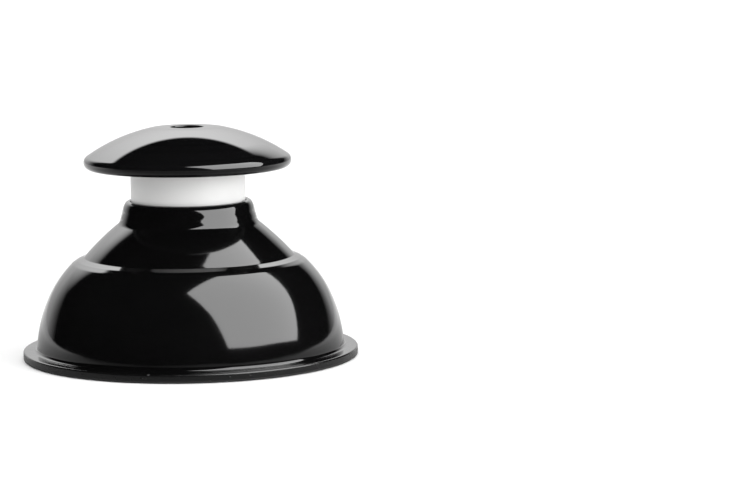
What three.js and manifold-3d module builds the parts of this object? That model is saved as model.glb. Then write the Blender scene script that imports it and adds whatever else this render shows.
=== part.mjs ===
// A small sink plunger: a stepped black rubber cup with a flat sealing flange, a white collar plugged into the
// cup's neck, and a domed palm knob on top. One screw, seen from inside the cup, holds the three together.
//
// Millimetres, +Z up. The origin is the centre of the mouth, in the plane that the flange seals on. Every piece is
// turned about the Z axis, so each is an outline of (radius, height) points swept round it.

import * as THREE from "three";
import { mergeVertices } from "three/addons/utils/BufferGeometryUtils.js";
import Module from "manifold-3d";

// ---- Driving dimensions ----

const TURN_STEPS = 48; // flats round a large piece
const SMALL_TURN_STEPS = 24; // flats round a fastener
const ARC_STEPS = 4; // half the steps on a round stretch of an outline
const GAP = 0.3; // between pieces that touch

// Rubber cup, from the mouth up
const flangeRadius = 40;
const flangeThickness = 2.1;
const flangeEdge = 0.35; // edge rounding
const mouthRadius = 25.7;
const skirtFoot = [36.5, 3.6]; // outside of the skirt, above its fillet to the flange
const skirtFillet = 1.5;
const skirtMiddle = [35.75, 8.2];
const skirtTop = [33.5, 14.8]; // the skirt's wide arc meets the shoulder's tighter one
const shoulderMiddle = [31.2, 19.0];
const shoulderEnd = [27.8, 22.7];
const ledgeEnd = [25.0, 24.1]; // the narrow ledge meets the cone
const coneMiddle = [21.0, 28.2]; // the cone is slightly domed
const wall = 5.2; // rubber thickness of the skirt and shoulder
const coneTop = [16.9, 31.8];
const neckRadius = 16.2;
const neckFillet = 1.2; // between the cone and the neck
const neckTaper = 0.4; // the neck narrows by this much up to its lip
const neckLipRound = 2.9;
const neckHeight = 37.4;

// Cavity, from the mouth up
const cavityShoulderRadius = 24.7;
const cavityShoulderHeight = 17.7;
const cavityConeRadius = 23.0;
const cavityConeHeight = 18.5;
const crownRadius = 14.5; // straight-sided recess above the cavity's cone
const crownStartHeight = 25.9;
const crownHeight = 28.4;
const crownEdge = 0.3; // bevel round the crown
const cavityFillet = 1.5; // between the skirt and the flange, inside
const funnelRadius = 8.7; // stepped recess round the screw head
const funnelStep = 0.95; // width of one step
const funnelRise = 0.9; // height of one step
const funnelSteps = 4;
const webThickness = 1.8; // rubber clamped between the screw's washer and the collar

// Collar
const collarRadius = 13.6;
const collarWall = 2.4;
const collarFoot = 31.3; // lower end, inside the neck
const collarBeadRadius = 14.2; // bead that snaps into the neck
const collarBeadHeight = 1.3;
const collarFloorThickness = 2.0;
const collarOverlap = 0.7; // how far the collar enters the knob's base plate

// Knob
const knobRadius = 24.75;
const knobTop = 55.4; // height of the dome, if it had no flat and no well
const knobWidestHeight = 46.6;
const knobRimRound = 1.65;
const knobShell = 2.2;
const baseRadius = 21.8;
const baseHeight = 45.7; // underside of the base plate
const baseThickness = 2.0;
const bossRadius = 6.0;
const wellRadius = 3.9; // hole in the top of the knob
const wellEdge = 0.4; // bevel round the well
const wellWall = 2.0;
const seatWidth = 3.0; // ledge that the base plate is glued to
const landRadius = 7.6; // flat round the well

// Fastening
const screwRadius = 1.95;
const screwHole = 2.3;
const screwHeadRadius = 4.0;
const screwHeadDepth = 2.4;
const screwHeadEdge = 0.9; // height of the head's upright edge
const screwChamfer = 0.5;
const slotWidth = 1.0;
const slotDepth = 1.1;
const clampWasherRadius = 4.5;
const clampWasherThickness = 0.8;
const thrustWasherRadius = 9.5;
const thrustWasherThickness = 1.0;
const insertRadius = 3.0;
const insertLength = 6.0;

// ---- Heights of the clamped stack, from the screw head up ----

const funnelTop = crownHeight + funnelRise * funnelSteps;
const clampWasherBottom = funnelTop + GAP;
const webBottom = clampWasherBottom + clampWasherThickness + GAP;
const webTop = webBottom + webThickness;
const thrustWasherBottom = webTop + GAP;
const collarFloor = thrustWasherBottom + thrustWasherThickness + GAP;
const bossBottom = collarFloor + collarFloorThickness + GAP;
const headSeat = clampWasherBottom - GAP;
const insertTop = baseHeight + baseThickness;
const insertBottom = insertTop - insertLength;
const screwEnd = insertTop - screwChamfer;

// ---- Shaping ----

/** An outline that starts at (radius, height). */
function outlineFrom(radius, height) {
  return new THREE.Path().moveTo(radius, height);
}

/** Continues an outline through several (radius, height) points. */
function lineThrough(outline, ...points) {
  points.forEach(([radius, height]) => outline.lineTo(radius, height));
  return outline;
}

/** Sweeps a closed outline round the Z axis. The outline runs anticlockwise, with radius to the right. */
function turned(outline, steps = TURN_STEPS) {
  const points = outline.getPoints(ARC_STEPS);
  if (points[0].x > 0) points.push(points[0].clone()); // a ring's outline closes on itself
  return new THREE.LatheGeometry(points, steps).rotateX(Math.PI / 2);
}

/** A flat ring, as a washer is. */
function ring(innerRadius, outerRadius, bottom, top, steps) {
  const outline = outlineFrom(innerRadius, bottom);
  lineThrough(outline, [outerRadius, bottom], [outerRadius, top], [innerRadius, top]);
  return turned(outline, steps);
}

/** The circle through three points, as { x, y, r }. */
function circleThrough([ax, ay], [bx, by], [cx, cy]) {
  const d = 2 * (ax * (by - cy) + bx * (cy - ay) + cx * (ay - by));
  const a = ax * ax + ay * ay;
  const b = bx * bx + by * by;
  const c = cx * cx + cy * cy;
  const x = (a * (by - cy) + b * (cy - ay) + c * (ay - by)) / d;
  const y = (a * (cx - bx) + b * (ax - cx) + c * (bx - ax)) / d;
  return { x, y, r: Math.hypot(ax - x, ay - y) };
}

const angleAt = (circle, [x, y]) => Math.atan2(y - circle.y, x - circle.x);

/** Continues an outline along a circle from one of its points to another. */
function arcAlong(outline, circle, from, to, clockwise) {
  outline.absarc(circle.x, circle.y, circle.r, angleAt(circle, from), angleAt(circle, to), clockwise);
  return outline;
}

// ---- Boolean cuts ----

const wasm = await Module();
wasm.setup();

function solidOf(geometry) {
  const bare = geometry.clone();
  bare.deleteAttribute("normal");
  bare.deleteAttribute("uv");
  const merged = mergeVertices(bare, 1e-4);
  return new wasm.Manifold(
    new wasm.Mesh({
      numProp: 3,
      vertProperties: merged.attributes.position.array,
      triVerts: new Uint32Array(merged.index.array),
    }),
  );
}

function geometryOf(solid) {
  const mesh = solid.getMesh();
  const geometry = new THREE.BufferGeometry();
  geometry.setAttribute("position", new THREE.BufferAttribute(mesh.vertProperties, 3));
  geometry.setIndex(new THREE.BufferAttribute(mesh.triVerts, 1));
  geometry.computeVertexNormals();
  return geometry;
}

// ---- Pieces ----

/** Cup: flange, skirt, shoulder, cone and neck, with a cavity of the same steps and a socket for the collar. */
function cupGeometry() {
  const skirt = circleThrough(skirtFoot, skirtMiddle, skirtTop);
  const shoulder = circleThrough(skirtTop, shoulderMiddle, shoulderEnd);
  const cone = circleThrough(ledgeEnd, coneMiddle, coneTop);
  const cavityShoulder = [cavityShoulderRadius, cavityShoulderHeight];
  const cavityFoot = [shoulder.x + shoulder.r - wall, shoulder.y];
  // The cavity's round shoulder ends upright at its foot, so its circle is level with it.
  const mirrored = [cavityShoulderRadius, 2 * shoulder.y - cavityShoulderHeight];
  const inner = circleThrough(cavityShoulder, cavityFoot, mirrored);
  const socketRadius = collarRadius + GAP;
  const plugRadius = collarRadius - collarWall - GAP;
  const beadSocket = collarBeadRadius + GAP;
  const socketFloor = collarFoot - GAP;
  const beadTop = collarFoot + collarBeadHeight + GAP;

  const outline = outlineFrom(mouthRadius, 0);
  lineThrough(outline, [flangeRadius - flangeEdge, 0], [flangeRadius, flangeEdge]);
  lineThrough(outline, [flangeRadius, flangeThickness - flangeEdge]);
  lineThrough(outline, [flangeRadius - flangeEdge, flangeThickness], [skirtFoot[0] + skirtFillet, flangeThickness]);
  outline.quadraticCurveTo(skirtFoot[0], flangeThickness, ...skirtFoot);
  arcAlong(outline, skirt, skirtFoot, skirtTop, false);
  arcAlong(outline, shoulder, skirtTop, shoulderEnd, false);
  outline.lineTo(...ledgeEnd);
  arcAlong(outline, cone, ledgeEnd, coneTop, false);
  outline.quadraticCurveTo(neckRadius, coneTop[1] + neckFillet / 2, neckRadius, coneTop[1] + neckFillet);
  outline.lineTo(neckRadius - neckTaper, neckHeight - neckLipRound);
  outline.quadraticCurveTo(neckRadius - 2 * neckTaper, neckHeight, socketRadius, neckHeight);
  lineThrough(outline, [socketRadius, beadTop], [beadSocket, beadTop], [beadSocket, socketFloor]);
  lineThrough(outline, [plugRadius, socketFloor], [plugRadius, webTop], [screwHole, webTop]);
  lineThrough(outline, [screwHole, webBottom], [clampWasherRadius + GAP, webBottom]);
  for (let step = funnelSteps; step > 0; step -= 1) {
    const height = crownHeight + funnelRise * step;
    const radius = funnelRadius - funnelStep * step;
    lineThrough(outline, [radius, height], [radius + funnelStep, height]);
  }
  lineThrough(outline, [funnelRadius, crownHeight], [crownRadius - crownEdge, crownHeight]);
  lineThrough(outline, [crownRadius, crownStartHeight], [cavityConeRadius, cavityConeHeight], cavityShoulder);
  arcAlong(outline, inner, cavityShoulder, cavityFoot, true);
  outline.lineTo(cavityFoot[0], flangeThickness + cavityFillet);
  outline.quadraticCurveTo(cavityFoot[0], flangeThickness, cavityFoot[0] - cavityFillet, flangeThickness);
  outline.lineTo(mouthRadius, flangeThickness);
  return turned(outline);
}

/** Collar: a white tube with a bead at its foot and a floor that the screw clamps. */
function collarGeometry() {
  const inner = collarRadius - collarWall;
  const top = baseHeight + collarOverlap;
  const outline = outlineFrom(inner, collarFoot);
  lineThrough(outline, [collarBeadRadius, collarFoot], [collarBeadRadius, collarFoot + collarBeadHeight]);
  lineThrough(outline, [collarRadius, collarFoot + collarBeadHeight], [collarRadius, top], [inner, top]);
  lineThrough(outline, [inner, collarFloor + collarFloorThickness], [screwHole, collarFloor + collarFloorThickness]);
  lineThrough(outline, [screwHole, collarFloor], [inner, collarFloor]);
  return turned(outline);
}

/** Base plate: closes the knob from below, with a groove for the collar and a boss that stands on its floor. */
function knobBaseGeometry() {
  const grooveInner = collarRadius - collarWall - GAP;
  const grooveOuter = collarRadius + GAP;
  const grooveTop = baseHeight + collarOverlap + GAP;
  const top = baseHeight + baseThickness;
  const pocket = insertRadius + GAP;
  const outline = outlineFrom(screwHole, bossBottom);
  lineThrough(outline, [bossRadius, bossBottom], [bossRadius, baseHeight], [grooveInner, baseHeight]);
  lineThrough(outline, [grooveInner, grooveTop], [grooveOuter, grooveTop], [grooveOuter, baseHeight]);
  lineThrough(outline, [baseRadius, baseHeight], [baseRadius, top], [pocket, top]);
  lineThrough(outline, [pocket, insertBottom - GAP], [screwHole, insertBottom - GAP]);
  return turned(outline);
}

/** Dome: the palm shell of the knob, with a round rim, a seat for the base plate and a well in the middle. */
function knobDomeGeometry() {
  const rim = { x: knobRadius - knobRimRound, y: knobWidestHeight, r: knobRimRound };
  // The dome's circle is centred on the axis and touches the rim's circle from outside.
  const drop = knobTop - rim.y;
  const domeRadius = (drop * drop + rim.x * rim.x - rim.r * rim.r) / (2 * (drop - rim.r));
  const dome = { x: 0, y: knobTop - domeRadius, r: domeRadius };
  const onDome = (circle, radius) => [radius, circle.y + Math.sqrt(circle.r ** 2 - radius ** 2)];
  const touch = Math.atan2(rim.y - dome.y, rim.x);
  const touchPoint = [dome.r * Math.cos(touch), dome.y + dome.r * Math.sin(touch)];
  const lining = { ...dome, r: dome.r - knobShell };
  const seatRadius = baseRadius + GAP;
  const seatTop = baseHeight + baseThickness + GAP;
  const hollowRadius = seatRadius - seatWidth;
  const wellTube = wellRadius + wellWall;
  const underside = rim.y - rim.r;

  const outline = outlineFrom(seatRadius, underside);
  outline.lineTo(rim.x, underside);
  outline.absarc(rim.x, rim.y, rim.r, -Math.PI / 2, touch, false);
  arcAlong(outline, dome, touchPoint, onDome(dome, landRadius), false);
  const landHeight = onDome(dome, landRadius)[1];
  lineThrough(outline, [wellRadius + wellEdge, landHeight], [wellRadius, landHeight - wellEdge]);
  lineThrough(outline, [wellRadius, seatTop], [wellTube, seatTop]);
  outline.lineTo(...onDome(lining, wellTube));
  arcAlong(outline, lining, onDome(lining, wellTube), onDome(lining, hollowRadius), true);
  lineThrough(outline, [hollowRadius, seatTop], [seatRadius, seatTop]);
  return turned(outline);
}

/** Screw: pan head with a straight slot, facing down into the cup. */
function clampScrewGeometry() {
  const headTip = headSeat - screwHeadDepth;
  const outline = outlineFrom(0, headTip);
  outline.quadraticCurveTo(screwHeadRadius - screwChamfer, headTip, screwHeadRadius, headSeat - screwHeadEdge);
  lineThrough(outline, [screwHeadRadius, headSeat], [screwRadius, headSeat], [screwRadius, screwEnd - screwChamfer]);
  lineThrough(outline, [screwRadius - screwChamfer, screwEnd], [0, screwEnd]);
  const slot = new THREE.BoxGeometry(3 * screwHeadRadius, slotWidth, 2 * slotDepth);
  slot.translate(0, 0, headTip);
  return geometryOf(solidOf(turned(outline, SMALL_TURN_STEPS)).subtract(solidOf(slot)));
}

const clampWasherGeometry = () =>
  ring(screwHole, clampWasherRadius, clampWasherBottom, clampWasherBottom + clampWasherThickness, SMALL_TURN_STEPS);

const thrustWasherGeometry = () =>
  ring(screwHole, thrustWasherRadius, thrustWasherBottom, thrustWasherBottom + thrustWasherThickness, TURN_STEPS);

const threadedInsertGeometry = () =>
  ring(screwRadius + GAP, insertRadius, insertBottom, insertTop, SMALL_TURN_STEPS);

// ---- Materials ----

const finish = (color, roughness, metalness = 0) => new THREE.MeshStandardMaterial({ color, roughness, metalness });
const blackRubber = finish(0x0b0b0c, 0.16);
const blackPlastic = finish(0x08080a, 0.1);
const whitePlastic = finish(0xe9e9e7, 0.4);
const chromedSteel = finish(0xd8dadd, 0.12, 1);
const zincSteel = finish(0xa9abae, 0.35, 1);
const brass = finish(0xb08d4a, 0.35, 1);

// ---- Assembly ----

const plunger = new THREE.Group();

function add(name, geometry, material) {
  const mesh = new THREE.Mesh(geometry, material);
  mesh.name = name;
  plunger.add(mesh);
}

add("cup", cupGeometry(), blackRubber);
add("collar", collarGeometry(), whitePlastic);
add("knob_base", knobBaseGeometry(), blackPlastic);
add("knob_dome", knobDomeGeometry(), blackPlastic);
add("clamp_screw", clampScrewGeometry(), chromedSteel);
add("clamp_washer", clampWasherGeometry(), chromedSteel);
add("thrust_washer", thrustWasherGeometry(), zincSteel);
add("threaded_insert", threadedInsertGeometry(), brass);

export default plunger;
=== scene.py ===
"""Looks of a small sink plunger: a glossy black rubber cup, a white collar and a domed black knob.

Every piece is turned about the Z axis. Its outline is drawn in metres as (radius, height) points, and a
Geometry Nodes tree sweeps it round.
"""

import math
from functools import cache

import bpy
from bpy.props import FloatProperty, FloatVectorProperty, IntProperty, PointerProperty
from mathutils import Matrix, Vector


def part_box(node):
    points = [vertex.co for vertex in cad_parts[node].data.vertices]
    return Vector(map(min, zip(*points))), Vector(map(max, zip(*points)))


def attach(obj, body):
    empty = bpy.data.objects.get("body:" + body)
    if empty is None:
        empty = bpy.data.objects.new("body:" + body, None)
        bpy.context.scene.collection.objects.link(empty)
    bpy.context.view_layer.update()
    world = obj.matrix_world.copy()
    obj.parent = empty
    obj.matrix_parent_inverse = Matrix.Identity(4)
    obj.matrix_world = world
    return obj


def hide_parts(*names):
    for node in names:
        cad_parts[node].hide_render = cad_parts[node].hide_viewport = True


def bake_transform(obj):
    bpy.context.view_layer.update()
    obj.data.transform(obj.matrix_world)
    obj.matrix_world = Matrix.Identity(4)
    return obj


bl_info = {
    "name": "Sink Plunger",
    "version": (1, 0, 0),
    "blender": (4, 5, 0),
    "location": "View3D > Sidebar > Plunger",
    "description": "Builds a rubber sink plunger with a palm knob round its working model",
    "category": "Add Mesh",
}

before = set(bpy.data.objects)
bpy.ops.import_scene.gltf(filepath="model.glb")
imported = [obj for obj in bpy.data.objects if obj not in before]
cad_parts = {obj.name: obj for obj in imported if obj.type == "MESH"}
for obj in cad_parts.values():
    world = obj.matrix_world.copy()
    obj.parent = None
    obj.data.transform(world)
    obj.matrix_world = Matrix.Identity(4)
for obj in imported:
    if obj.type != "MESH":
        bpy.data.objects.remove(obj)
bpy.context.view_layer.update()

MM = 0.001
CLEARANCE = 0.12 * MM  # between a finished piece and the CAD box, and between touching pieces


def reach(node):
    """(lowest height, highest height, radius) of a CAD node."""
    low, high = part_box(node)
    return low.z, high.z, high.x


_, NECK_TOP, FLANGE_RADIUS = reach("cup")
COLLAR_FOOT, COLLAR_TOP, COLLAR_BEAD_RADIUS = reach("collar")
BOSS_FOOT, BASE_TOP, BASE_RADIUS = reach("knob_base")
DOME_UNDERSIDE, DOME_TOP, DOME_RADIUS = reach("knob_dome")
HEAD_TIP, SCREW_END, HEAD_RADIUS = reach("clamp_screw")
WASHER_BOTTOM, WASHER_TOP, WASHER_RADIUS = reach("clamp_washer")
THRUST_BOTTOM, THRUST_TOP, THRUST_RADIUS = reach("thrust_washer")
INSERT_BOTTOM, INSERT_TOP, INSERT_RADIUS = reach("threaded_insert")
SCREW_RADIUS = INSERT_RADIUS - 1.05 * MM
SCREW_HOLE = SCREW_RADIUS + 0.35 * MM
COLLAR_RADIUS = COLLAR_BEAD_RADIUS - 0.6 * MM
COLLAR_BORE = COLLAR_RADIUS - 2.4 * MM


# ---- Outlines ----


class Outline:
    """Half of a section through a turned piece, walked with the material on the left."""

    def __init__(self, radius, height):
        self.corners = [(Vector((radius, height)), 0.0)]

    def to(self, radius, height, rounding=0.0):
        """A straight run to a corner, which is rounded off."""
        self.corners.append((Vector((radius, height)), rounding))
        return self

    def through(self, *corners):
        for corner in corners:
            self.to(*corner)
        return self

    def arc(self, centre, radius, start, end, steps=24):
        """A round stretch between two angles in degrees."""
        for step in range(steps + 1):
            angle = math.radians(start + (end - start) * step / steps)
            self.to(centre[0] + radius * math.cos(angle), centre[1] + radius * math.sin(angle))
        return self

    def arc_between(self, centre, radius, start, end, steps=24):
        """A round stretch along a circle, from one of its points to another."""
        return self.arc(centre, radius, bearing(centre, start), bearing(centre, end), steps)

    def curve(self, start, pull, end, steps=12):
        """A quadratic curve from start to end, bent towards pull."""
        start, pull, end = Vector(start), Vector(pull), Vector(end)
        for step in range(1, steps + 1):
            t = step / steps
            self.to(*(start * (1 - t) ** 2 + pull * (2 * t * (1 - t)) + end * t**2))
        return self

    def rounded(self, arc_steps=6):
        """The corners, each replaced by an arc that touches both of its runs."""
        points = []
        last = len(self.corners) - 1
        for index, (corner, rounding) in enumerate(self.corners):
            if rounding <= 0 or index in (0, last):
                points.append(corner)
                continue
            before = self.corners[index - 1][0] - corner
            after = self.corners[index + 1][0] - corner
            half = before.angle(after) / 2
            reach_back = min(rounding / math.tan(half), 0.49 * before.length, 0.49 * after.length)
            first = corner + before.normalized() * reach_back
            final = corner + after.normalized() * reach_back
            radius = reach_back * math.tan(half)
            middle = (before.normalized() + after.normalized()).normalized()
            centre = corner + middle * math.hypot(radius, reach_back)
            for step in range(arc_steps + 1):
                share = step / arc_steps
                spoke = (first - centre).slerp(final - centre, share, (first - centre))
                points.append(centre + spoke.normalized() * radius)
        return points

    def points(self, spacing):
        """The rounded outline, with its long runs divided so that the shading stays true."""
        rounded = self.rounded()
        dense = [rounded[0]]
        for point in rounded[1:]:
            step = point - dense[-1]
            count = max(1, math.ceil(step.length / spacing))
            start = dense[-1]
            if step.length < 1e-7:
                continue
            dense.extend(start + step * (part / count) for part in range(1, count + 1))
        return dense


def circle_through(a, b, c):
    """(centre, radius) of the circle through three points."""
    ax, ay, bx, by, cx, cy = *a, *b, *c
    d = 2 * (ax * (by - cy) + bx * (cy - ay) + cx * (ay - by))
    a2, b2, c2 = ax * ax + ay * ay, bx * bx + by * by, cx * cx + cy * cy
    x = (a2 * (by - cy) + b2 * (cy - ay) + c2 * (ay - by)) / d
    y = (a2 * (cx - bx) + b2 * (ax - cx) + c2 * (bx - ax)) / d
    return Vector((x, y)), math.hypot(ax - x, ay - y)


def circle_touching(centre, point, through):
    """(centre, radius) of the circle through one point that touches, at another, a circle round centre."""
    outward = (Vector(point) - centre).normalized()
    chord = Vector(through) - Vector(point)
    radius = -chord.length_squared / (2 * outward.dot(chord))
    return Vector(point) - outward * radius, radius


def bearing(centre, point):
    """Angle in degrees of a point seen from a centre."""
    return math.degrees(math.atan2(point[1] - centre[1], point[0] - centre[0]))


# ---- Node trees ----


class Tree:
    """Adds nodes to a tree, and joins them, with their sockets given by name or number."""

    def __init__(self, tree):
        self.tree = tree

    def add(self, kind, inputs=None, **settings):
        node = self.tree.nodes.new(kind)
        for name, value in settings.items():
            setattr(node, name, value)
        for key, value in (inputs or {}).items():
            self.feed(node.inputs[key], value)
        return node

    def feed(self, socket, value):
        """Sets a socket, or joins it to an output."""
        if isinstance(value, bpy.types.NodeSocket):
            self.tree.links.new(value, socket)
        else:
            socket.default_value = value

    def math(self, operation, *values, clamp=False):
        node = self.add("ShaderNodeMath", dict(enumerate(values)), operation=operation, use_clamp=clamp)
        return node.outputs[0]


def geometry_tree(name, inputs):
    """A Geometry Nodes tree with named inputs of (name, socket type, default)."""
    tree = bpy.data.node_groups.new(name, "GeometryNodeTree")
    tree.interface.new_socket("Geometry", in_out="INPUT", socket_type="NodeSocketGeometry")
    tree.interface.new_socket("Geometry", in_out="OUTPUT", socket_type="NodeSocketGeometry")
    for label, kind, default in inputs:
        socket = tree.interface.new_socket(label, in_out="INPUT", socket_type=kind)
        if default is not None:
            socket.default_value = default
    nodes = Tree(tree)
    return tree, nodes, nodes.add("NodeGroupInput"), nodes.add("NodeGroupOutput")


def end_tree(nodes, group_in, group_out, geometry):
    """Ends a Geometry Nodes tree with real geometry that carries its material."""
    real = nodes.add("GeometryNodeRealizeInstances", {0: geometry})
    dressed = nodes.add(
        "GeometryNodeSetMaterial", {0: real.outputs[0], "Material": group_in.outputs["Material"]}
    )
    nodes.feed(group_out.inputs[0], dressed.outputs[0])


def turned_tree():
    """Sweeps an outline of points round the Z axis, and gives the surface a slight moulded unevenness."""
    tree, nodes, group_in, group_out = geometry_tree(
        "Turned Piece",
        [
            ("Steps Round", "NodeSocketInt", 192),
            ("Unevenness", "NodeSocketFloat", 0.0),
            ("Unevenness Size", "NodeSocketFloat", 0.02),
            ("Material", "NodeSocketMaterial", None),
        ],
    )
    outline = group_in.outputs["Geometry"]
    steps = group_in.outputs["Steps Round"]
    size = nodes.add("GeometryNodeAttributeDomainSize", {0: outline}, component="MESH")
    rows = size.outputs["Point Count"]
    columns = nodes.math("ADD", steps, 1)
    grid = nodes.add("GeometryNodeMeshGrid", {"Vertices X": columns, "Vertices Y": rows})
    index = nodes.add("GeometryNodeInputIndex").outputs[0]
    row = nodes.math("MODULO", index, rows)
    column = nodes.math("FLOOR", nodes.math("DIVIDE", index, rows))
    place = nodes.add("GeometryNodeInputPosition").outputs[0]
    sample = nodes.add(
        "GeometryNodeSampleIndex",
        {"Geometry": outline, "Index": row},
        data_type="FLOAT_VECTOR",
        domain="POINT",
    )
    socket = next(s for s in sample.inputs if s.name == "Value" and s.enabled)
    nodes.feed(socket, place)
    on_outline = next(s for s in sample.outputs if s.enabled)
    turn = nodes.math("DIVIDE", nodes.math("MULTIPLY", column, math.tau), steps)
    turned = nodes.add(
        "ShaderNodeVectorRotate", {"Vector": on_outline, "Angle": turn}, rotation_type="Z_AXIS"
    )
    swept = nodes.add(
        "GeometryNodeSetPosition", {"Geometry": grid.outputs[0], "Position": turned.outputs[0]}
    )
    joined = nodes.add("GeometryNodeMergeByDistance", {"Geometry": swept.outputs[0], "Distance": 2e-6})
    waves = nodes.add(
        "ShaderNodeTexNoise",
        {
            "Vector": place,
            "Scale": nodes.math("DIVIDE", 1.0, group_in.outputs["Unevenness Size"]),
            "Detail": 1.0,
        },
    )
    dip = nodes.math("MINIMUM", nodes.math("SUBTRACT", waves.outputs[0], 0.7), 0.0)
    height = nodes.math("MULTIPLY", dip, group_in.outputs["Unevenness"])
    normal = nodes.add("GeometryNodeInputNormal").outputs[0]
    push = nodes.add("ShaderNodeVectorMath", {0: normal, "Scale": height}, operation="SCALE")
    uneven = nodes.add("GeometryNodeSetPosition", {"Geometry": joined.outputs[0], "Offset": push.outputs[0]})
    smooth = nodes.add("GeometryNodeSetShadeSmooth", {0: uneven.outputs[0], "Shade Smooth": True})
    end_tree(nodes, group_in, group_out, smooth.outputs[0])
    return tree


def nub_tree():
    """Scatters small moulding nubs along a ring of points."""
    tree, nodes, group_in, group_out = geometry_tree(
        "Moulding Nubs",
        [
            ("Share Kept", "NodeSocketFloat", 0.12),
            ("Smallest", "NodeSocketFloat", 0.4),
            ("Seed", "NodeSocketInt", 3),
            ("Nub Length", "NodeSocketFloat", 0.5 * MM),
            ("Nub Height", "NodeSocketFloat", 0.1 * MM),
            ("Material", "NodeSocketMaterial", None),
        ],
    )
    seed = group_in.outputs["Seed"]
    kept = nodes.add("FunctionNodeRandomValue", {"Probability": group_in.outputs["Share Kept"], "Seed": seed},
                     data_type="BOOLEAN")
    nub = nodes.add("GeometryNodeMeshUVSphere", {"Segments": 12, "Rings": 8, "Radius": 0.5})
    place = nodes.add("GeometryNodeInputPosition").outputs[0]
    parts = nodes.add("ShaderNodeSeparateXYZ", {0: place})
    turn = nodes.math("ARCTAN2", parts.outputs[1], parts.outputs[0])
    spin = nodes.add("ShaderNodeCombineXYZ", {"Z": turn})
    low = group_in.outputs["Smallest"]
    stretch = nodes.add("FunctionNodeRandomValue", {2: low, 3: 1.0, "Seed": nodes.math("ADD", seed, 1)},
                        data_type="FLOAT")
    scale = nodes.add(
        "ShaderNodeCombineXYZ",
        {
            "X": group_in.outputs["Nub Height"],
            "Y": nodes.math("MULTIPLY", group_in.outputs["Nub Length"], stretch.outputs[1]),
            "Z": group_in.outputs["Nub Height"],
        },
    )
    nubs = nodes.add(
        "GeometryNodeInstanceOnPoints",
        {
            "Points": group_in.outputs["Geometry"],
            "Selection": next(s for s in kept.outputs if s.enabled),
            "Instance": nub.outputs[0],
            "Rotation": spin.outputs[0],
            "Scale": scale.outputs[0],
        },
    )
    end_tree(nodes, group_in, group_out, nubs.outputs[0])
    return tree


def slot_tree():
    """Cuts a straight slot across the lower end of a piece."""
    tree, nodes, group_in, group_out = geometry_tree(
        "Straight Slot",
        [
            ("Slot Length", "NodeSocketFloat", 12.0 * MM),
            ("Slot Width", "NodeSocketFloat", 1.0 * MM),
            ("Slot Depth", "NodeSocketFloat", 1.1 * MM),
            ("Lower End", "NodeSocketFloat", 0.0),
            ("Material", "NodeSocketMaterial", None),
        ],
    )
    given = group_in.outputs
    both_ways = nodes.math("MULTIPLY", given["Slot Depth"], 2.0)
    size = nodes.add("ShaderNodeCombineXYZ", {0: given["Slot Length"], 1: given["Slot Width"], 2: both_ways})
    cutter = nodes.add("GeometryNodeMeshCube", {"Size": size.outputs[0]})
    middle = nodes.add("ShaderNodeCombineXYZ", {2: given["Lower End"]})
    placed = nodes.add("GeometryNodeTransform", {0: cutter.outputs[0], "Translation": middle.outputs[0]})
    cut = nodes.add("GeometryNodeMeshBoolean", {0: given["Geometry"], 1: placed.outputs[0]},
                    operation="DIFFERENCE", solver="EXACT")
    bend = nodes.add("GeometryNodeInputMeshEdgeAngle").outputs[0]
    creased = nodes.add("GeometryNodeSetShadeSmooth", {0: cut.outputs[0], "Selection": nodes.math(
        "GREATER_THAN", bend, 0.7), "Shade Smooth": False}, domain="EDGE")
    end_tree(nodes, group_in, group_out, creased.outputs[0])
    return tree


def points_object(name, points):
    """An object whose mesh is a chain of points in the XZ plane or in space."""
    mesh = bpy.data.meshes.new(name)
    places = [(p[0], 0.0, p[1]) if len(p) == 2 else tuple(p) for p in points]
    mesh.from_pydata(places, [(i, i + 1) for i in range(len(places) - 1)], [])
    piece = bpy.data.objects.new(name, mesh)
    bpy.context.scene.collection.objects.link(piece)
    return piece


def grown(piece, tree, values):
    """Runs a Geometry Nodes tree on a piece and keeps the result as its plain mesh."""
    modifier = piece.modifiers.new("Shape", "NODES")
    modifier.node_group = tree
    sockets = {item.name: item.identifier for item in tree.interface.items_tree if item.in_out == "INPUT"}
    for name, value in values.items():
        modifier[sockets[name]] = value
    evaluated = piece.evaluated_get(bpy.context.evaluated_depsgraph_get())
    mesh = bpy.data.meshes.new_from_object(evaluated)
    mesh.name = piece.name
    piece.modifiers.clear()
    piece.data = mesh
    if not mesh.polygons:
        raise RuntimeError(f"{piece.name} has no faces")
    return piece


def turned_piece(name, outline, material, steps, spacing=0.5 * MM, unevenness=0.0, size=0.02):
    """A finished turned piece, from its outline."""
    tree = bpy.data.node_groups.get("Turned Piece") or turned_tree()
    values = {"Steps Round": steps, "Unevenness": unevenness, "Unevenness Size": size, "Material": material}
    return grown(points_object(name, outline.points(spacing)), tree, values)


def settle(piece, body, slot, *nodes):
    """Says which body a piece rides on and which CAD nodes it stands for, and hides those nodes; the slot is
    not used.
    """
    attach(piece, body)
    if nodes:
        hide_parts(*nodes)
    return piece


# ---- Shared shader effects ----


def shader_group(name, output, **inputs):
    """(tree, nodes, inputs, output socket) of an empty group with number inputs and one number output."""
    tree = bpy.data.node_groups.new(name, "ShaderNodeTree")
    for label, default in inputs.items():
        number = tree.interface.new_socket(label, in_out="INPUT", socket_type="NodeSocketFloat")
        number.default_value = default
    tree.interface.new_socket(output, in_out="OUTPUT", socket_type="NodeSocketFloat")
    nodes = Tree(tree)
    given = nodes.add("NodeGroupInput").outputs
    return tree, nodes, given, nodes.add("NodeGroupOutput").inputs[0]


def object_place(nodes):
    """The shaded point in the object's own coordinates."""
    return nodes.add("ShaderNodeTexCoord").outputs["Object"]


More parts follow.
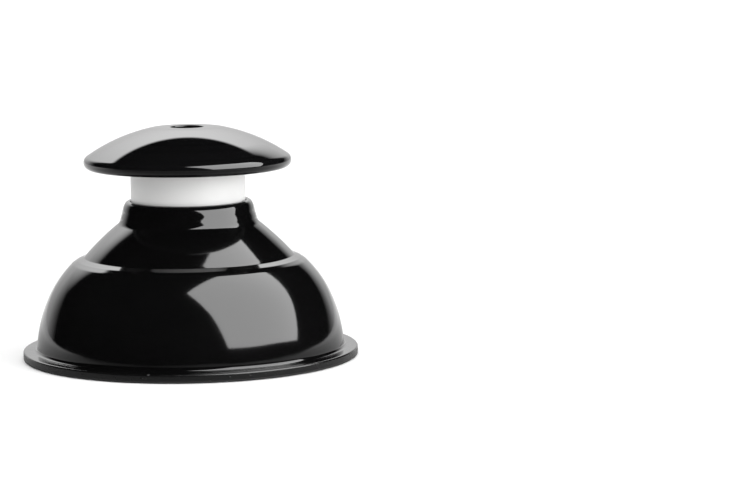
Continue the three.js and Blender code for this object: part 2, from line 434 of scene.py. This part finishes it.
def radius_and_height(nodes):
    """The shaded point's distance from the Z axis, and its height."""
    x, y, z = nodes.add("ShaderNodeSeparateXYZ", {0: object_place(nodes)}).outputs
    return nodes.math("SQRT", nodes.math("ADD", nodes.math("POWER", x, 2.0), nodes.math("POWER", y, 2.0))), z


@cache
def blotch_group():
    """A soft cloudy value, as of handling marks and uneven release from a mould."""
    tree, nodes, given, result = shader_group("Blotches", "Value", Size=0.01, Contrast=1.0)
    scale = nodes.math("DIVIDE", 1.0, given["Size"])
    noise = nodes.add("ShaderNodeTexNoise", {"Vector": object_place(nodes), "Scale": scale, "Detail": 6.0,
                                             "Roughness": 0.62})
    centred = nodes.math("MULTIPLY", nodes.math("SUBTRACT", noise.outputs[0], 0.5), given["Contrast"])
    nodes.feed(result, nodes.math("ADD", centred, 0.5, clamp=True))
    return tree


@cache
def speck_group():
    """A mask of fine specks: dust, and pits left by the mould."""
    tree, nodes, given, result = shader_group("Specks", "Mask", Size=0.001, Amount=0.1)
    scale = nodes.math("DIVIDE", 1.0, given["Size"])
    cells = nodes.add("ShaderNodeTexVoronoi", {"Vector": object_place(nodes), "Scale": scale})
    chance = nodes.add("ShaderNodeSeparateColor", {0: cells.outputs["Color"]}).outputs[0]
    lucky = nodes.math("LESS_THAN", chance, given["Amount"])
    near = nodes.math("LESS_THAN", cells.outputs["Distance"], 0.22)
    nodes.feed(result, nodes.math("MULTIPLY", lucky, near))
    return tree


@cache
def band_group():
    """A mask of a band of heights, with soft ends."""
    tree, nodes, given, result = shader_group("Height Band", "Mask", Low=0.0, High=0.002, Softness=0.0002)
    _, height = radius_and_height(nodes)
    above = nodes.math("DIVIDE", nodes.math("SUBTRACT", height, given["Low"]), given["Softness"], clamp=True)
    below = nodes.math("DIVIDE", nodes.math("SUBTRACT", given["High"], height), given["Softness"], clamp=True)
    nodes.feed(result, nodes.math("MULTIPLY", above, below))
    return tree


@cache
def ring_group():
    """A mask of a ring round the Z axis, which fades on both sides."""
    tree, nodes, given, result = shader_group("Ring Band", "Mask", Radius=0.02, Width=0.0002)
    radius, _ = radius_and_height(nodes)
    away = nodes.math("ABSOLUTE", nodes.math("SUBTRACT", radius, given["Radius"]))
    nodes.feed(result, nodes.math("SUBTRACT", 1.0, nodes.math("DIVIDE", away, given["Width"]), clamp=True))
    return tree


@cache
def turning_group():
    """Fine rings round the Z axis, as a polished mould or a lathe leaves."""
    tree, nodes, given, result = shader_group("Turning Marks", "Value", Pitch=0.0003)
    radius, height = radius_and_height(nodes)
    rings = nodes.add("ShaderNodeCombineXYZ", {0: radius, 1: height})
    scale = nodes.math("DIVIDE", 1.0, given["Pitch"])
    noise = nodes.add("ShaderNodeTexNoise", {"Vector": rings.outputs[0], "Scale": scale, "Detail": 3.0},
                      noise_dimensions="2D")
    nodes.feed(result, noise.outputs[0])
    return tree


class Finish:
    """A material with one Principled shader, and helpers that place the shared effects in it."""

    def __init__(self, name, **constants):
        self.material = bpy.data.materials.new(name)
        self.material.use_nodes = True
        self.nodes = Tree(self.material.node_tree)
        self.shader = self.material.node_tree.nodes["Principled BSDF"]
        for socket, value in constants.items():
            self.shader.inputs[socket.replace("_", " ")].default_value = value

    def effect(self, group, **inputs):
        """The output of a shared effect, placed with its inputs set."""
        node = self.nodes.add("ShaderNodeGroup", node_tree=group)
        for name, value in inputs.items():
            self.nodes.feed(node.inputs[name.replace("_", " ")], value)
        return node.outputs[0]

    def scaled(self, value, factor):
        return self.nodes.math("MULTIPLY", value, factor)

    def spread(self, value, low, high):
        """A 0 to 1 value, spread between two limits."""
        node = self.nodes.add("ShaderNodeMapRange", {"Value": value, "To Min": low, "To Max": high})
        return node.outputs[0]

    def mix(self, factor, a, b):
        """A colour between two colours or links."""
        node = self.nodes.add("ShaderNodeMix", data_type="RGBA")
        for socket, value in zip((0, 6, 7), (factor, a, b)):
            self.nodes.feed(node.inputs[socket], value)
        return node.outputs[2]

    def mix_value(self, factor, a, b):
        node = self.nodes.add("ShaderNodeMix", {0: factor, 2: a, 3: b}, data_type="FLOAT")
        return node.outputs[0]

    def set(self, **links):
        for socket, value in links.items():
            self.nodes.feed(self.shader.inputs[socket.replace("_", " ")], value)

    def bump(self, height, distance, strength=1.0):
        node = self.nodes.add(
            "ShaderNodeBump", {"Height": height, "Distance": distance, "Strength": strength}
        )
        self.set(Normal=node.outputs[0])


def rgb(colour, factor=1.0):
    return (*[channel * factor for channel in colour[:3]], 1.0)


# ---- Materials of this object ----


def rubber_finish(settings):
    """Glossy black rubber, matt where the flange seals and round its trimmed rim."""
    finish = Finish("Cup Rubber", IOR=1.5)
    blotches = finish.effect(blotch_group(), Size=0.012, Contrast=1.6)
    grime = finish.effect(blotch_group(), Size=0.004, Contrast=3.0)
    specks = finish.effect(speck_group(), Size=0.0014, Amount=0.05)
    sealing = finish.effect(band_group(), Low=-0.01, High=0.55 * MM, Softness=0.25 * MM)
    rim = finish.effect(band_group(), Low=-0.01, High=settings.flange_thickness + 0.2 * MM,
                        Softness=0.4 * MM)
    dusty = finish.scaled(rim, specks)
    gloss = finish.mix(blotches, rgb(settings.rubber_colour, 0.8), rgb(settings.rubber_colour, 1.2))
    matt = finish.mix(grime, rgb(settings.sealing_colour, 0.8), rgb(settings.sealing_colour, 1.25))
    body = finish.mix(sealing, gloss, matt)
    mouth_edge = finish.effect(ring_group(), Radius=settings.mouth_radius, Width=0.4 * MM)
    outer_edge = finish.effect(ring_group(), Radius=FLANGE_RADIUS - 0.5 * MM, Width=0.25 * MM)
    worn = finish.scaled(finish.nodes.math("MAXIMUM", mouth_edge, outer_edge), sealing)
    body = finish.mix(finish.scaled(worn, 0.8), body, rgb((0.09, 0.09, 0.09)))
    finish.set(Base_Color=finish.mix(dusty, body, rgb((0.06, 0.06, 0.06))))
    polished = finish.spread(blotches, settings.rubber_roughness * 0.8, settings.rubber_roughness * 1.3)
    trimmed = finish.mix_value(rim, polished, finish.spread(grime, 0.16, 0.3))
    finish.set(Roughness=finish.mix_value(sealing, trimmed, finish.spread(grime, 0.5, 0.62)))
    grain = finish.scaled(grime, finish.nodes.math("ADD", finish.scaled(rim, 0.9), 0.1))
    finish.bump(grain, 0.03 * MM, 0.5)
    return finish.material


def knob_finish(settings):
    """High-gloss black plastic with very fine polishing rings."""
    finish = Finish("Knob Plastic", IOR=1.52)
    blotches = finish.effect(blotch_group(), Size=0.015, Contrast=1.5)
    rings = finish.effect(turning_group(), Pitch=0.0005)
    finish.set(
        Base_Color=finish.mix(rings, rgb(settings.plastic_colour, 0.5), rgb(settings.plastic_colour, 1.6))
    )
    low, high = settings.plastic_roughness * 0.8, settings.plastic_roughness * 1.3
    finish.set(Roughness=finish.spread(blotches, low, high))
    finish.bump(rings, 0.002 * MM, 0.4)
    return finish.material


def collar_finish(settings):
    """Satin white plastic."""
    finish = Finish("Collar Plastic", IOR=1.49)
    blotches = finish.effect(blotch_group(), Size=0.006, Contrast=1.2)
    rings = finish.effect(turning_group(), Pitch=0.0006)
    finish.set(
        Base_Color=finish.mix(blotches, rgb(settings.collar_colour, 0.97), rgb(settings.collar_colour, 1.0))
    )
    finish.set(Roughness=finish.spread(blotches, 0.3, 0.4))
    finish.bump(rings, 0.006 * MM, 0.5)
    return finish.material


def metal_finish(name, colour, roughness, size=0.004, dent=0.0):
    """Plated or turned metal, with a slight unevenness in its polish."""
    finish = Finish(name, Metallic=1.0)
    blotches = finish.effect(blotch_group(), Size=size, Contrast=2.0)
    rings = finish.effect(turning_group(), Pitch=0.0002)
    finish.set(Base_Color=finish.mix(blotches, rgb(colour, 0.88), rgb(colour, 1.0)))
    finish.set(Roughness=finish.spread(blotches, roughness * 0.7, roughness * 1.5))
    uneven = finish.nodes.math("ADD", finish.scaled(blotches, dent), rings)
    finish.bump(uneven, 0.01 * MM, 0.5)
    return finish.material


def floor_finish():
    """Pale floor with painted shade that only glossy surfaces see: darker towards the front, as on a table
    lit from behind.
    """
    finish = Finish("Pale Floor", Roughness=0.9)
    # Painted shade: in reflections the floor's colour darkens towards the front, while camera rays see it
    # evenly pale.
    depth = finish.nodes.add("ShaderNodeSeparateXYZ", {0: object_place(finish.nodes)}).outputs[1]
    shade = finish.nodes.add("ShaderNodeMapRange", {"Value": depth, "From Min": -0.08, "From Max": 0.12,
                                                    "To Min": 0.1, "To Max": 0.85}).outputs[0]
    reflected = finish.nodes.add("ShaderNodeLightPath").outputs["Is Glossy Ray"]
    finish.set(Base_Color=finish.mix_value(reflected, 0.98, shade))
    return finish.material


# ---- Settings ----


def length(name, description, default):
    return FloatProperty(name=name, description=description, default=default, min=0.0, unit="LENGTH",
                         subtype="DISTANCE", precision=5)


def colour(name, description, default):
    return FloatVectorProperty(name=name, description=description, default=default, size=3, min=0.0, max=1.0,
                               subtype="COLOR")


def number(name, description, default):
    return FloatProperty(name=name, description=description, default=default, min=0.0)


class PlungerCupSettings(bpy.types.PropertyGroup):
    """Sizes and finish of the rubber cup"""

    flange_thickness: length("Flange Thickness", "Thickness of the flange", 2.1 * MM)
    mouth_radius: length("Mouth Radius", "Radius of the opening", 25.7 * MM)
    skirt_radius: length("Skirt Radius", "Outside radius where the skirt meets the flange", 36.5 * MM)
    wall: length("Wall", "Thickness of the rubber", 5.2 * MM)
    neck_radius: length("Neck Radius", "Outside radius of the neck", 16.2 * MM)
    unevenness: length("Unevenness", "Depth of the moulded unevenness", 0.16 * MM)
    rubber_colour: colour("Rubber Colour", "Colour of the glossy rubber", (0.0022, 0.0022, 0.0023))
    sealing_colour: colour("Sealing Face Colour", "Colour of the matt face", (0.016, 0.016, 0.0165))
    rubber_roughness: number("Rubber Roughness", "Roughness of the glossy rubber", 0.07)
    steps: IntProperty(name="Steps Round", description="Faces round the cup", default=200, min=24)


class PlungerHandleSettings(bpy.types.PropertyGroup):
    """Sizes and finish of the collar and the knob"""

    rim_rounding: length("Rim Rounding", "Radius of the knob's rim", 1.65 * MM)
    well_radius: length("Well Radius", "Radius of the well in the knob's top", 3.9 * MM)
    land_radius: length("Land Radius", "Radius of the flat round the well", 7.6 * MM)
    shell: length("Shell", "Thickness of the knob's shell", 2.2 * MM)
    plastic_colour: colour("Knob Colour", "Colour of the knob", (0.003, 0.003, 0.0032))
    plastic_roughness: number("Knob Roughness", "Roughness of the knob", 0.035)
    collar_colour: colour("Collar Colour", "Colour of the collar", (0.55, 0.55, 0.545))
    steps: IntProperty(name="Steps Round", description="Faces round the knob", default=192, min=24)


class PlungerStageSettings(bpy.types.PropertyGroup):
    """Camera, floor and lights"""

    camera_distance: length("Camera Distance", "From the camera to the middle of the plunger", 0.70876)
    camera_elevation: FloatProperty(name="Camera Elevation", description="Height of the view above level",
                                    default=math.radians(7.553), subtype="ANGLE")
    camera_roll: FloatProperty(name="Camera Roll", description="Turn of the view about its line of sight",
                               default=math.radians(-0.635), subtype="ANGLE")
    lens: number("Lens", "Focal length in millimetres", 142.6)
    softbox_roll: number("Softbox Roll", "Roll of the softbox in degrees", -7.0)
    softbox_strength: number("Softbox Strength", "Brightness of the softbox in reflections", 6.5)
    key_strength: number("Key Strength", "Power of the key light in watts", 7.0)
    backdrop_strength: number("Backdrop Strength", "Brightness of the white sweep behind", 1.0)
    sweep_lean: number("Sweep Lean", "How far the white sweep leans to the left, as a slope", 0.13)
    fill_strength: number("Fill Strength", "Brightness of the even fill light", 1.24)


# ---- Outlines of the pieces ----


def cup_outline(s):
    """The cup, from the mouth's edge round the outside, down the socket and back through the hollow."""
    edge = FLANGE_RADIUS - CLEARANCE
    thick = s.flange_thickness
    skirt_foot = (s.skirt_radius, 3.6 * MM)
    skirt_top = (s.skirt_radius - 3.0 * MM, 14.8 * MM)
    skirt_circle = circle_through(skirt_foot, (s.skirt_radius - 0.75 * MM, 8.2 * MM), skirt_top)
    shoulder_end = (27.8 * MM, 22.7 * MM)
    centre, radius = circle_touching(skirt_circle[0], skirt_top, shoulder_end)
    ledge_end = (25.0 * MM, 24.1 * MM)
    cone_top = (16.9 * MM, 31.8 * MM)
    cone_circle = circle_through(ledge_end, (21.0 * MM, 28.2 * MM), cone_top)
    hollow_end = (24.7 * MM, 17.7 * MM)
    hollow_foot = (s.skirt_radius - s.wall - 1.5 * MM, 7.2 * MM)
    below = (hollow_end[0], 2 * hollow_foot[1] - hollow_end[1])
    hollow_circle = circle_through(hollow_end, hollow_foot, below)
    socket = COLLAR_RADIUS + CLEARANCE
    bead_socket = COLLAR_BEAD_RADIUS + CLEARANCE
    bead_top = COLLAR_FOOT + 1.3 * MM + CLEARANCE
    socket_floor = COLLAR_FOOT - CLEARANCE
    pillar = COLLAR_BORE - CLEARANCE
    web_top = THRUST_BOTTOM - CLEARANCE
    web_bottom = WASHER_TOP + CLEARANCE
    seat = WASHER_RADIUS + 0.3 * MM
    crown = 28.4 * MM

    outline = Outline(s.mouth_radius + 0.4 * MM, 0.0)
    outline.to(edge, 0.0, 0.35 * MM).to(edge, thick, 0.45 * MM)
    outline.to(s.skirt_radius + 0.12 * MM, thick, 1.3 * MM)
    outline.arc_between(*skirt_circle, skirt_foot, skirt_top, 40)
    outline.arc_between(centre, radius, skirt_top, shoulder_end, 40)
    outline.to(26.6 * MM, 23.45 * MM, 1.5 * MM)
    outline.to(*ledge_end, 0.35 * MM)
    outline.arc_between(*cone_circle, (24.2 * MM, 25.05 * MM), cone_top, 30)
    outline.curve(cone_top, (s.neck_radius + 0.1 * MM, 32.4 * MM), (s.neck_radius, 33.2 * MM), 8)
    lip_start = Vector((s.neck_radius - 0.4 * MM, NECK_TOP - 2.9 * MM))
    outline.to(*lip_start)
    lip_end = Vector((socket + 0.25 * MM, NECK_TOP - 0.1 * MM))
    outline.curve(lip_start, (s.neck_radius - 0.8 * MM, NECK_TOP), lip_end, 14)
    outline.to(socket, NECK_TOP - 0.35 * MM, 0.2 * MM)
    outline.through((socket, bead_top, 0.2 * MM), (bead_socket, bead_top, 0.2 * MM))
    outline.through((bead_socket, socket_floor, 0.2 * MM), (pillar, socket_floor, 0.3 * MM))
    outline.through((pillar, web_top, 0.3 * MM), (SCREW_HOLE, web_top, 0.1 * MM))
    outline.through((SCREW_HOLE, web_bottom, 0.1 * MM), (seat, web_bottom, 0.2 * MM))
    for step in range(4):
        foot = seat + (0.95 * MM) * step
        height = crown + 0.9 * MM * (4 - step)
        outline.through((foot, height, 0.3 * MM), (foot + 0.95 * MM, height - 0.15 * MM, 0.35 * MM))
    outline.to(seat + 3.8 * MM, crown, 0.5 * MM)
    outline.to(14.2 * MM, crown, 0.6 * MM)
    outline.to(14.5 * MM, 25.9 * MM, 0.5 * MM)
    outline.to(23.0 * MM, 18.5 * MM, 0.5 * MM)
    outline.arc_between(*hollow_circle, hollow_end, hollow_foot, 36)
    outline.to(hollow_foot[0], 2.1 * MM, 2.0 * MM)
    outline.to(s.mouth_radius, 2.1 * MM, 0.5 * MM)
    outline.to(s.mouth_radius, 0.25 * MM, 0.0)
    outline.to(s.mouth_radius + 0.12 * MM, 0.06 * MM, 0.0)
    outline.to(s.mouth_radius + 0.4 * MM, 0.0)
    return outline


def collar_outline():
    foot = COLLAR_FOOT
    floor = THRUST_TOP + 0.3 * MM
    bead_top = foot + 1.3 * MM
    outline = Outline(COLLAR_BORE + 1.0 * MM, foot)
    outline.through((COLLAR_BEAD_RADIUS, foot, 0.3 * MM), (COLLAR_BEAD_RADIUS, bead_top, 0.3 * MM))
    outline.through((COLLAR_RADIUS, bead_top, 0.15 * MM), (COLLAR_RADIUS, COLLAR_TOP, 0.2 * MM))
    outline.through((COLLAR_BORE, COLLAR_TOP, 0.2 * MM), (COLLAR_BORE, floor + 2.0 * MM, 0.3 * MM))
    outline.through((SCREW_HOLE, floor + 2.0 * MM, 0.1 * MM), (SCREW_HOLE, floor, 0.1 * MM))
    outline.through((COLLAR_BORE, floor, 0.3 * MM), (COLLAR_BORE, foot, 0.3 * MM))
    outline.to(COLLAR_BORE + 1.0 * MM, foot)
    return outline


def knob_base_outline(s):
    underside = BASE_TOP - 2.0 * MM
    groove_top = COLLAR_TOP + CLEARANCE
    groove_in, groove_out = COLLAR_BORE - CLEARANCE, COLLAR_RADIUS + CLEARANCE
    pocket = INSERT_RADIUS + CLEARANCE
    boss = 6.0 * MM
    edge = BASE_RADIUS
    outline = Outline(SCREW_HOLE + 1.0 * MM, BOSS_FOOT)
    outline.through(
        (boss, BOSS_FOOT, 0.3 * MM), (boss, underside, 0.5 * MM), (groove_in, underside, 0.2 * MM)
    )
    outline.through((groove_in, groove_top, 0.2 * MM), (groove_out, groove_top, 0.2 * MM))
    outline.through(
        (groove_out, underside, 0.25 * MM), (edge, underside, 0.35 * MM), (edge, BASE_TOP, 0.3 * MM)
    )
    outline.through((pocket, BASE_TOP, 0.2 * MM), (pocket, INSERT_BOTTOM - CLEARANCE, 0.2 * MM))
    outline.through((SCREW_HOLE, INSERT_BOTTOM - CLEARANCE, 0.1 * MM), (SCREW_HOLE, BOSS_FOOT, 0.1 * MM))
    outline.to(SCREW_HOLE + 1.0 * MM, BOSS_FOOT)
    return outline


def knob_dome_outline(s):
    edge = DOME_RADIUS - CLEARANCE
    rim = s.rim_rounding
    rim_centre = Vector((edge - rim, DOME_UNDERSIDE + rim + 0.02 * MM))
    apex = DOME_TOP + 0.7 * MM
    drop = apex - rim_centre.y
    radius = (drop**2 + rim_centre.x**2 - rim**2) / (2 * (drop - rim))
    centre = Vector((0.0, apex - radius))
    touch = bearing(centre, rim_centre)
    rim_touch = radius * math.cos(math.radians(touch))
    seat = BASE_RADIUS + CLEARANCE
    seat_top = BASE_TOP + CLEARANCE
    tube = s.well_radius + s.shell
    lining = radius - s.shell
    well_edge = 0.35 * MM

    def on_circle(size, at):
        return (at, centre.y + math.sqrt(size**2 - at**2))

    outline = Outline(seat + 0.4 * MM, DOME_UNDERSIDE)
    outline.arc(rim_centre, rim, -88, touch, 14)
    land = on_circle(radius, s.land_radius + 1.0 * MM)
    outline.arc_between(centre, radius, on_circle(radius, rim_touch), land, 60)
    top = DOME_TOP - CLEARANCE / 4
    outline.curve(land, (s.land_radius, top), (s.land_radius - 1.4 * MM, top), 8)
    outline.arc((s.well_radius + well_edge, top - well_edge), well_edge, 90, 180, 6)
    outline.through((s.well_radius, seat_top, 0.2 * MM), (tube, seat_top, 0.2 * MM))
    hollow = seat - 3.0 * MM
    outline.arc(centre, lining, bearing(centre, on_circle(lining, tube)),
                bearing(centre, on_circle(lining, hollow)), 30)
    outline.through(
        (hollow, seat_top, 0.2 * MM), (seat, seat_top, 0.2 * MM), (seat, DOME_UNDERSIDE + 0.3 * MM, 0.0)
    )
    outline.to(seat + 0.12 * MM, DOME_UNDERSIDE + 0.06 * MM)
    outline.to(seat + 0.4 * MM, DOME_UNDERSIDE)
    return outline


def screw_outline():
    seat = WASHER_BOTTOM - CLEARANCE
    neck = SCREW_RADIUS
    head = HEAD_RADIUS - 0.02 * MM
    side = seat - 0.85 * MM
    outline = Outline(0.0, HEAD_TIP)
    drop = side - HEAD_TIP
    radius = (head**2 + drop**2) / (2 * drop)
    centre = (0.0, HEAD_TIP + radius)
    outline.arc(centre, radius, -90, bearing(centre, (head - 0.25 * MM, side - 0.12 * MM)), 20)
    outline.through((head, side + 0.1 * MM, 0.25 * MM), (head, seat, 0.15 * MM), (neck, seat, 0.1 * MM))
    pitch = 0.7 * MM
    turns = int((SCREW_END - seat - 1.0 * MM) / pitch)
    for turn in range(turns):
        foot = seat + 0.4 * MM + pitch * turn
        outline.through((neck, foot, 0.0), (neck - 0.3 * MM, foot + pitch / 2, 0.0))
    outline.through((neck, SCREW_END - 0.6 * MM, 0.1 * MM), (neck - 0.5 * MM, SCREW_END, 0.1 * MM))
    outline.to(0.0, SCREW_END)
    return outline


def ring_outline(inner, outer, bottom, top, rounding):
    outline = Outline((inner + outer) / 2, bottom)
    outline.through((outer, bottom, rounding), (outer, top, rounding), (inner, top, rounding))
    outline.through((inner, bottom, rounding), ((inner + outer) / 2, bottom, 0.0))
    return outline


# ---- Operators ----


class PLUNGER_OT_cup(bpy.types.Operator):
    """Builds the rubber cup"""

    bl_idname = "plunger.build_cup"
    bl_label = "Build Cup"

    def execute(self, context):
        settings = context.scene.plunger_cup
        rubber = rubber_finish(settings)
        cup = turned_piece("rubber_cup", cup_outline(settings), rubber, settings.steps, 0.6 * MM,
                           settings.unevenness, 0.014)
        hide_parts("cup")
        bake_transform(cup)

        rim = FLANGE_RADIUS - 0.17 * MM
        count = 260
        height = settings.flange_thickness * 0.55
        ring = [(rim * math.cos(math.tau * i / count), rim * math.sin(math.tau * i / count), height)
                for i in range(count)]
        nubs = points_object("flange_nubs", ring)
        grown(nubs, nub_tree(), {"Material": rubber, "Nub Length": 0.9 * MM, "Nub Height": 0.22 * MM})
        settle(nubs, "cup", "cup_rubber")
        return {"FINISHED"}


class PLUNGER_OT_collar(bpy.types.Operator):
    """Builds the white collar"""

    bl_idname = "plunger.build_collar"
    bl_label = "Build Collar"

    def execute(self, context):
        settings = context.scene.plunger_handle
        collar = turned_piece("collar_sleeve", collar_outline(), collar_finish(settings), settings.steps)
        settle(collar, "handle", "collar_plastic", "collar")
        return {"FINISHED"}


class PLUNGER_OT_knob(bpy.types.Operator):
    """Builds the knob's dome and its base plate"""

    bl_idname = "plunger.build_knob"
    bl_label = "Build Knob"

    def execute(self, context):
        settings = context.scene.plunger_handle
        plastic = knob_finish(settings)
        dome = turned_piece("palm_dome", knob_dome_outline(settings), plastic, settings.steps)
        settle(dome, "handle", "knob_plastic", "knob_dome")
        base = turned_piece("base_plate", knob_base_outline(settings), plastic, settings.steps)
        settle(base, "handle", "knob_plastic", "knob_base")
        return {"FINISHED"}


class PLUNGER_OT_fastening(bpy.types.Operator):
    """Builds the screw, its washers and the threaded insert"""

    bl_idname = "plunger.build_fastening"
    bl_label = "Build Fastening"

    def execute(self, context):
        chrome = metal_finish("Chromed Steel", (0.8, 0.81, 0.82), 0.06, 0.0016, 3.0)
        zinc = metal_finish("Zinc Plate", (0.58, 0.59, 0.6), 0.3)
        brass = metal_finish("Turned Brass", (0.62, 0.45, 0.2), 0.28)
        steps = 96
        screw = turned_piece("screw", screw_outline(), chrome, steps, 0.25 * MM, 0.12 * MM, 0.0022)
        grown(screw, slot_tree(), {"Lower End": HEAD_TIP, "Material": chrome})
        settle(screw, "handle", "chromed_steel", "clamp_screw")
        washers = (
            ("screw_washer", "clamp_washer", SCREW_HOLE, WASHER_RADIUS, WASHER_BOTTOM, WASHER_TOP, chrome,
             "chromed_steel"),
            ("floor_washer", "thrust_washer", SCREW_HOLE, THRUST_RADIUS, THRUST_BOTTOM, THRUST_TOP, zinc,
             "zinc_steel"),
            ("insert", "threaded_insert", SCREW_RADIUS + CLEARANCE, INSERT_RADIUS, INSERT_BOTTOM, INSERT_TOP,
             brass, "insert_brass"),
        )
        for name, node, inner, outer, bottom, top, material, slot in washers:
            outline = ring_outline(inner, outer, bottom, top, 0.15 * MM)
            settle(turned_piece(name, outline, material, steps, 0.4 * MM), "handle", slot, node)
        return {"FINISHED"}


def soft_world(settings):
    """Even fill light everywhere, with a bright white sweep at the back that glossy surfaces reflect."""
    world = bpy.data.worlds.new("Studio")
    bpy.context.scene.world = world
    world.use_nodes = True
    nodes = Tree(world.node_tree)
    background = world.node_tree.nodes["Background"]
    direction = nodes.add("ShaderNodeTexCoord").outputs["Generated"]
    parts = nodes.add("ShaderNodeSeparateXYZ", {0: direction})
    level = nodes.math("SQRT", nodes.math("SUBTRACT", 1.0, nodes.math("POWER", parts.outputs[2], 2.0)))

    def ramp(value, low, high, bottom, top):
        return nodes.add("ShaderNodeMapRange", {"Value": value, "From Min": low, "From Max": high,
                                                "To Min": bottom, "To Max": top}).outputs[0]

    height = parts.outputs[2]
    # The sweep leans to the left as it rises.
    lean = nodes.math("MULTIPLY", parts.outputs[0], ramp(height, 0.0, 0.4, 0.03, settings.sweep_lean))
    leaned = nodes.math("SUBTRACT", parts.outputs[1], lean)
    facing = nodes.math("DIVIDE", leaned, nodes.math("MAXIMUM", level, 0.001))
    side = ramp(height, 0.0, 0.3, math.cos(math.radians(46)), math.cos(math.radians(31)))
    softness = ramp(height, 0.2, 0.6, 0.11, 0.04)
    behind = nodes.add("ShaderNodeMapRange", {"Value": nodes.math("SUBTRACT", facing, side),
                                              "From Min": nodes.math("MULTIPLY", softness, -1.0),
                                              "From Max": softness}).outputs[0]
    below_ceiling = ramp(height, 0.645, 0.68, 1.0, 0.0)
    rise = nodes.math("POWER", nodes.math("MAXIMUM", height, 0.0), 2.0)
    brightness = nodes.math("ADD", nodes.math("MULTIPLY", rise, 8.0), ramp(height, -0.05, 0.0, 0.2, 0.85))
    sweep = nodes.math("MULTIPLY", nodes.math("MULTIPLY", behind, below_ceiling), brightness)
    sweep = nodes.math("MULTIPLY", sweep, settings.backdrop_strength)
    path = nodes.add("ShaderNodeLightPath")
    sharp = path.outputs["Is Glossy Ray"]
    even = nodes.math("MULTIPLY", nodes.math("SUBTRACT", 1.0, sharp), settings.fill_strength)
    seen = path.outputs["Is Camera Ray"]
    lit = nodes.math("ADD", nodes.math("MULTIPLY", sweep, sharp), even)
    strength = nodes.add("ShaderNodeMix", {0: seen, 2: lit, 3: 1.0}, data_type="FLOAT").outputs[0]
    nodes.feed(background.inputs["Color"], (1.0, 1.0, 1.0, 1.0))
    nodes.feed(background.inputs["Strength"], strength)


def pale_floor():
    """A wide plain floor."""
    half = 3.0
    mesh = bpy.data.meshes.new("floor")
    low = -0.0001
    mesh.from_pydata([(-half, -half, low), (half, -half, low), (half, half, low), (-half, half, low)], [],
                     [(0, 1, 2, 3)])
    floor = bpy.data.objects.new("floor", mesh)
    bpy.context.scene.collection.objects.link(floor)
    mesh.materials.append(floor_finish())
    return floor


def panel_light(name, direction, distance, size, watts, roll=0.0):
    """A square panel that faces the plunger from a direction, rolled by an angle in degrees."""
    direction = Vector(direction).normalized()
    light = bpy.data.lights.new(name, "AREA")
    light.shape = "SQUARE"
    light.size = size
    light.energy = watts
    lamp = bpy.data.objects.new(name, light)
    lamp.location = direction * distance + Vector((0.0, 0.0, 0.02))
    facing = (-direction).to_track_quat("-Z", "Y").to_matrix()
    lamp.rotation_euler = (facing @ Matrix.Rotation(math.radians(roll), 3, "Z")).to_euler()
    lamp.visible_camera = False
    bpy.context.scene.collection.objects.link(lamp)
    return lamp


def softboxes(settings):
    """A softbox high on the right for the glossy surfaces, and a wider light that shapes the matt ones."""
    size = 0.78
    watts = settings.softbox_strength * math.pi * size**2
    mirror_light = panel_light("softbox", (0.66, -0.37, 0.68), 0.6, size, watts, settings.softbox_roll)
    mirror_light.visible_diffuse = False
    key = panel_light("key", (0.75, -0.6, 0.12), 0.8, 0.5, settings.key_strength)
    key.visible_glossy = False


def aimed_camera(settings):
    """The camera, with the plunger at the left of its view."""
    elevation = settings.camera_elevation
    middle = 0.025
    place = Vector((0.0, -math.cos(elevation), math.sin(elevation))) * settings.camera_distance
    place.z += middle
    aim = Vector((0.0443, 0.0, 0.0242))
    camera = bpy.data.cameras.new("camera")
    camera.lens = settings.lens
    camera.sensor_width = 36.0
    camera.clip_end = 20.0
    eye = bpy.data.objects.new("camera", camera)
    turn = (aim - place).to_track_quat("-Z", "Y").to_matrix().to_4x4()
    eye.matrix_world = Matrix.Translation(place) @ turn @ Matrix.Rotation(settings.camera_roll, 4, "Z")
    bpy.context.scene.collection.objects.link(eye)
    bpy.context.scene.camera = eye
    return eye


class PLUNGER_OT_stage(bpy.types.Operator):
    """Sets up the camera, the pale floor and the soft studio light"""

    bl_idname = "plunger.build_stage"
    bl_label = "Build Stage"

    def execute(self, context):
        settings = context.scene.plunger_stage
        aimed_camera(settings)
        pale_floor()
        soft_world(settings)
        softboxes(settings)
        context.scene.view_settings.view_transform = "Standard"
        return {"FINISHED"}


class PLUNGER_PT_panel(bpy.types.Panel):
    """Settings and building steps of the plunger"""

    bl_label = "Sink Plunger"
    bl_space_type = "VIEW_3D"
    bl_region_type = "UI"
    bl_category = "Plunger"

    def draw(self, context):
        layout = self.layout
        for heading, settings in SETTINGS.items():
            box = layout.box()
            box.label(text=heading.replace("_", " ").title())
            group = getattr(context.scene, heading)
            for name in settings.__annotations__:
                box.prop(group, name)
        for operator in OPERATORS:
            layout.operator(operator.bl_idname)


SETTINGS = {
    "plunger_stage": PlungerStageSettings,
    "plunger_cup": PlungerCupSettings,
    "plunger_handle": PlungerHandleSettings,
}
OPERATORS = (PLUNGER_OT_stage, PLUNGER_OT_cup, PLUNGER_OT_collar, PLUNGER_OT_knob, PLUNGER_OT_fastening)


def register():
    for item in (*SETTINGS.values(), *OPERATORS, PLUNGER_PT_panel):
        bpy.utils.register_class(item)
    for name, group in SETTINGS.items():
        setattr(bpy.types.Scene, name, PointerProperty(type=group))


def unregister():
    for name in SETTINGS:
        delattr(bpy.types.Scene, name)
    for item in reversed((*SETTINGS.values(), *OPERATORS, PLUNGER_PT_panel)):
        bpy.utils.unregister_class(item)


def main():
    register()
    for operator in OPERATORS:
        group, name = operator.bl_idname.split(".")
        getattr(getattr(bpy.ops, group), name)()


if __name__ == "__main__":
    main()
